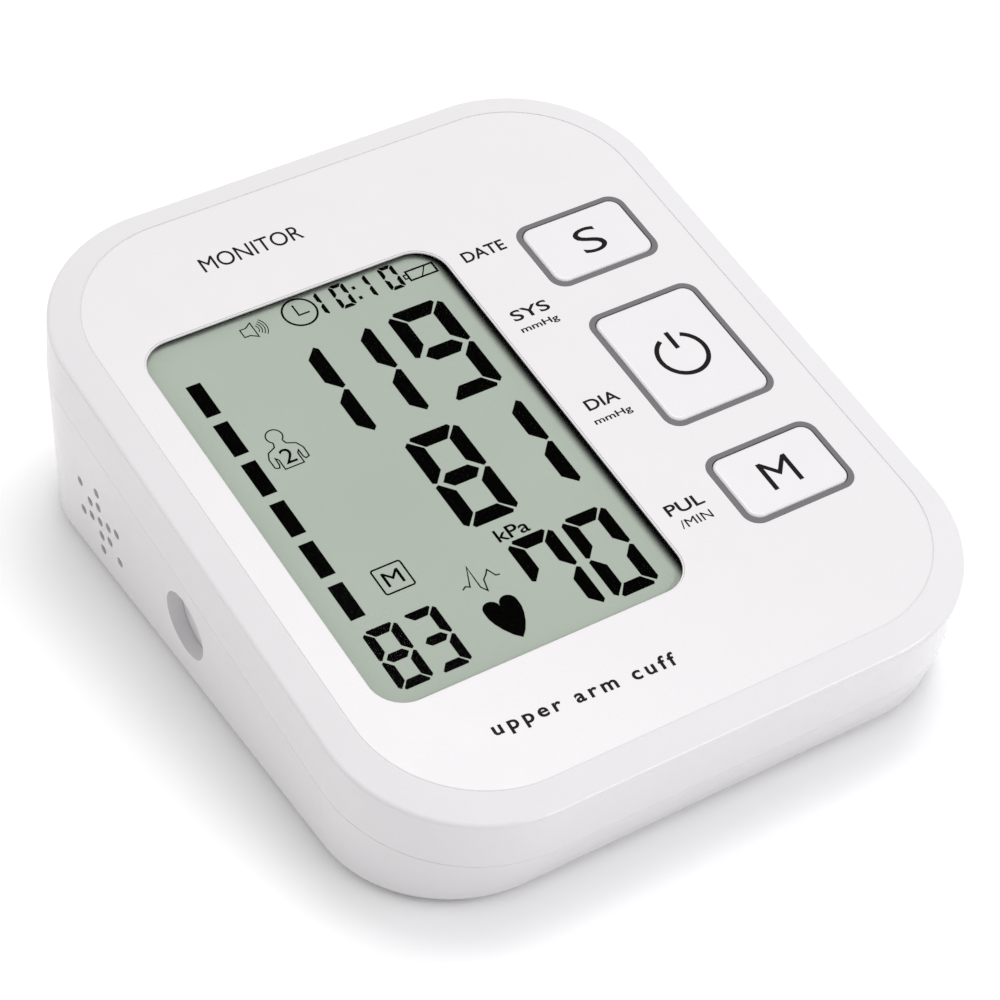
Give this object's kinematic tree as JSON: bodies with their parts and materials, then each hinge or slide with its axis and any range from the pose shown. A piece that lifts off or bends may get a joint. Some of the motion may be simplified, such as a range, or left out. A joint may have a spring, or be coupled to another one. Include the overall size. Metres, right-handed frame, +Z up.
{
  "type": "upper arm blood pressure monitor",
  "caption": "Wedge-shaped desk blood pressure monitor with a large display, press buttons, a side air socket for the cuff hose and a battery door underneath.",
  "frame": {"origin": "on the surface it stands on, under the middle of the case", "axes": "+Z up, +Y from the low front edge to the high back edge, +X to the right as the user reads the display"},
  "size_m": [0.1164, 0.1394, 0.0466],
  "materials": {
    "white_body": "satin white moulded plastic",
    "face_plate": "satin white plate",
    "black_trim": "matt black plastic",
    "key_cap": "satin white key caps",
    "key_ring": "mid grey outline rings",
    "clear_lens": "clear acrylic",
    "lcd": "display glass",
    "lcd_film": "grey-green film",
    "grey_rubber": "matt rubber",
    "board_green": "solder-masked board",
    "black_parts": "moulded black",
    "white_nylon": "natural nylon",
    "pump_plastic": "black engineering plastic",
    "steel": "plated steel",
    "magnet": "ferrite",
    "copper_coil": "enamelled winding",
    "silicone_tube": "translucent silicone",
    "wire_insulation": "coloured wire insulation",
    "capacitor_sleeve": "sleeved aluminium can",
    "cell_jacket": "printed cell jacket"
  },
  "bodies": {
    "housing": {"air_manifold": "white_nylon", "air_socket": "white_nylon", "battery_cells": "cell_jacket", "battery_contacts": "steel", "battery_leads": "wire_insulation", "battery_springs": "steel", "board_capacitors": "capacitor_sleeve", "board_screws": "steel", "button_rings": "key_ring", "case_screws": "steel", "controller_chip": "black_parts", "crystal_can": "steel", "display_frame": "black_trim", "display_lens": "clear_lens", "face_panel": "face_plate", "front_polariser": "lcd_film", "lcd_front_glass": "lcd", "lcd_rear_glass": "lcd", "lower_cover": "white_body", "main_board": "board_green", "memory_chip": "black_parts", "motor_can": "steel", "motor_end_cap": "pump_plastic", "motor_leads": "wire_insulation", "motor_magnets": "magnet", "pressure_sensor": "white_nylon", "pump_cap": "pump_plastic", "pump_cradles": "grey_rubber", "pump_diaphragm": "grey_rubber", "pump_head": "pump_plastic", "pump_tube": "silicone_tube", "rear_reflector": "lcd_film", "rubber_feet": "grey_rubber", "sensor_tube": "silicone_tube", "socket_tube": "silicone_tube", "speaker_cone": "black_parts", "speaker_frame": "pump_plastic", "speaker_leads": "wire_insulation", "speaker_magnet": "steel", "switch_bodies": "black_parts", "upper_cover": "white_body", "valve_coil": "copper_coil", "valve_leads": "wire_insulation", "valve_seat": "white_nylon", "valve_tube": "silicone_tube", "valve_yoke": "steel", "window_bezel": "face_plate", "wire_connectors": "white_nylon", "zebra_strips": "grey_rubber"},
    "set_key": {"set_button": "key_cap", "set_switch_plunger": "white_nylon"},
    "power_key": {"power_button": "key_cap", "power_switch_plunger": "white_nylon"},
    "memory_key": {"memory_button": "key_cap", "memory_switch_plunger": "white_nylon"},
    "door": {"battery_door": "white_body"},
    "pump_rotor": {"motor_rotor": "steel", "crank_wheel": "pump_plastic"},
    "valve_armature": {"valve_plunger": "steel"}
  },
  "joints": [
    {"name": "set_key_press", "type": "slide", "parent": "housing", "child": "set_key", "axis": [0, 0.1685, -0.9857], "range_m": [0, 0.0008], "stiffness_N_per_m": 1500},
    {"name": "power_key_press", "type": "slide", "parent": "housing", "child": "power_key", "axis": [0, 0.1685, -0.9857], "range_m": [0, 0.0008], "stiffness_N_per_m": 1500},
    {"name": "memory_key_press", "type": "slide", "parent": "housing", "child": "memory_key", "axis": [0, 0.1685, -0.9857], "range_m": [0, 0.0008], "stiffness_N_per_m": 1500},
    {"name": "door_hinge", "type": "hinge", "parent": "housing", "child": "door", "pos_m": [0.006, -0.0252, 0.0027], "axis": [-1, 0, 0], "range_deg": [0, 90]},
    {"name": "pump_rotor_spin", "type": "hinge", "parent": "housing", "child": "pump_rotor", "pos_m": [0, 0.0515, 0.0177], "axis": [1, 0, 0], "continuous": true},
    {"name": "valve_armature_slide", "type": "slide", "parent": "housing", "child": "valve_armature", "axis": [0, 1, 0], "range_m": [0, 0.0012], "stiffness_N_per_m": 400}
  ]
}
